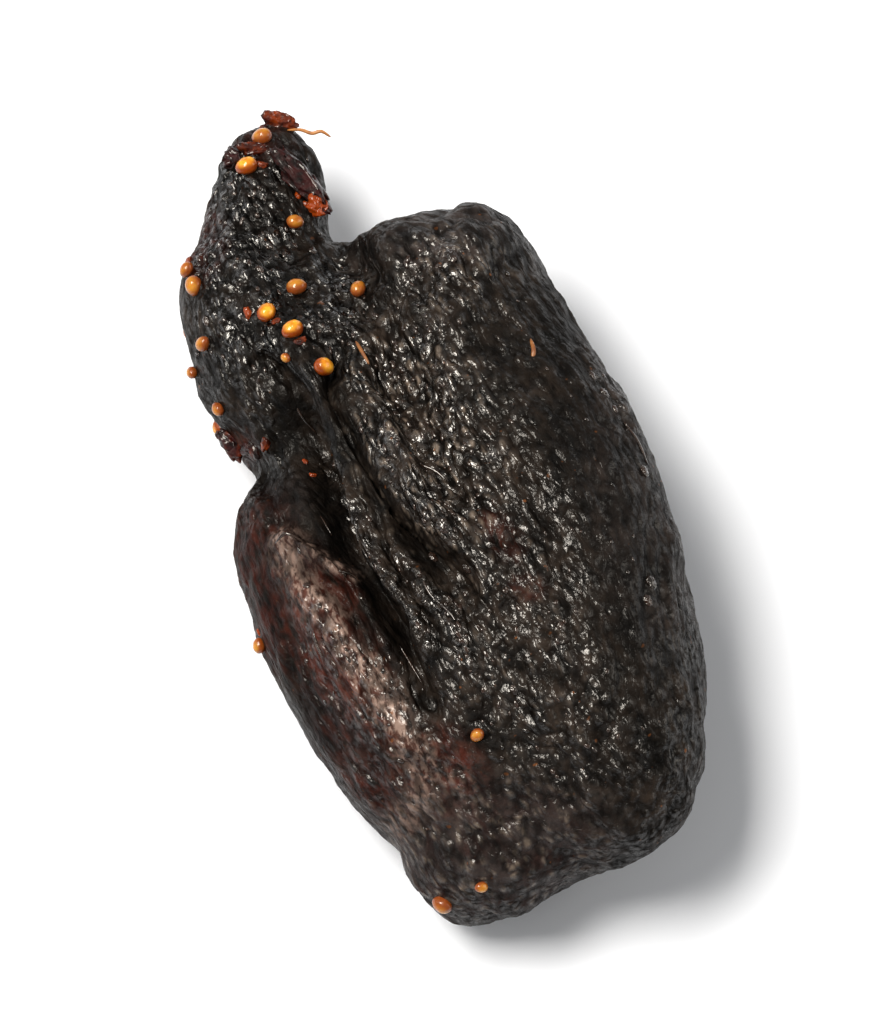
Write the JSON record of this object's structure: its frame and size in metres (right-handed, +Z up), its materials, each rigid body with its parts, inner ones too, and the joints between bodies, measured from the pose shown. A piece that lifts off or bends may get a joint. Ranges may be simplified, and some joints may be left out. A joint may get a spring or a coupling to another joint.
{
  "type": "dried fig",
  "caption": "Wrinkled dried black fig lying on its side, with a folded face, a short neck with a torn stalk end, and seeds stuck to its sticky skin.",
  "frame": {"origin": "middle of the flat spot that the fig lies on", "axes": "+Y along the fig from its eye end to its neck, +Z up through the folded face"},
  "size_m": [0.0225, 0.046, 0.0156],
  "materials": {
    "fig_skin": "near-black wrinkled skin with a sticky gloss"
  },
  "bodies": {
    "root": {"fig": "fig_skin"}
  },
  "joints": []
}
